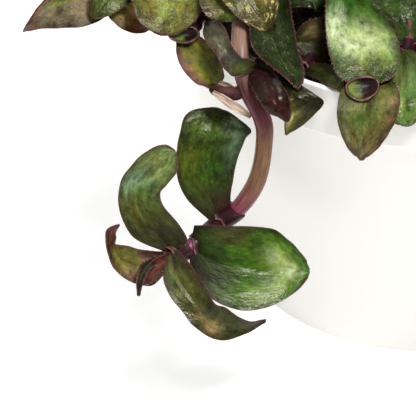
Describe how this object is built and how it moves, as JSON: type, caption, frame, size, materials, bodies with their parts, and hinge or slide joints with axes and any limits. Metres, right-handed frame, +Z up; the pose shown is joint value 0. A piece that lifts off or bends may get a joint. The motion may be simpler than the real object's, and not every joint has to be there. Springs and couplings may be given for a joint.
{
  "type": "potted tradescantia",
  "caption": "Trailing tradescantia with thick oval green leaves, purple beneath, on brown stems that rise from soil and hang over the rim of a round white plastic pot",
  "frame": {"origin": "middle of the pot's flat underside, on the surface it stands on", "axes": "+Z up, -Y towards the side that the picture shows, +X to the right seen from there"},
  "size_m": [0.3001, 0.2931, 0.2373],
  "materials": {
    "pot_plastic": "smooth moulded white plastic with a soft gloss",
    "compost": "dark crumbly peat-free compost, matt",
    "foliage": "thick glossy living leaves, green mottled with olive above, purple beneath, on purple-brown stems"
  },
  "bodies": {
    "root": {"pot": "pot_plastic", "soil": "compost", "leafy_stem_hanging": "foliage", "leafy_stem_left": "foliage", "leafy_stem_olive": "foliage", "leafy_stem_flecked": "foliage", "leafy_stem_low": "foliage", "leafy_stem_bright": "foliage", "leafy_stem_01": "foliage", "leafy_stem_02": "foliage", "leafy_stem_03": "foliage", "leafy_stem_04": "foliage", "leafy_stem_05": "foliage", "leafy_stem_06": "foliage", "leafy_stem_07": "foliage", "leafy_stem_08": "foliage", "leafy_stem_09": "foliage", "leafy_stem_10": "foliage", "leafy_stem_11": "foliage", "leafy_stem_12": "foliage", "leafy_stem_13": "foliage", "leafy_stem_14": "foliage", "leafy_stem_15": "foliage", "leafy_stem_16": "foliage", "leafy_stem_17": "foliage"}
  },
  "joints": []
}
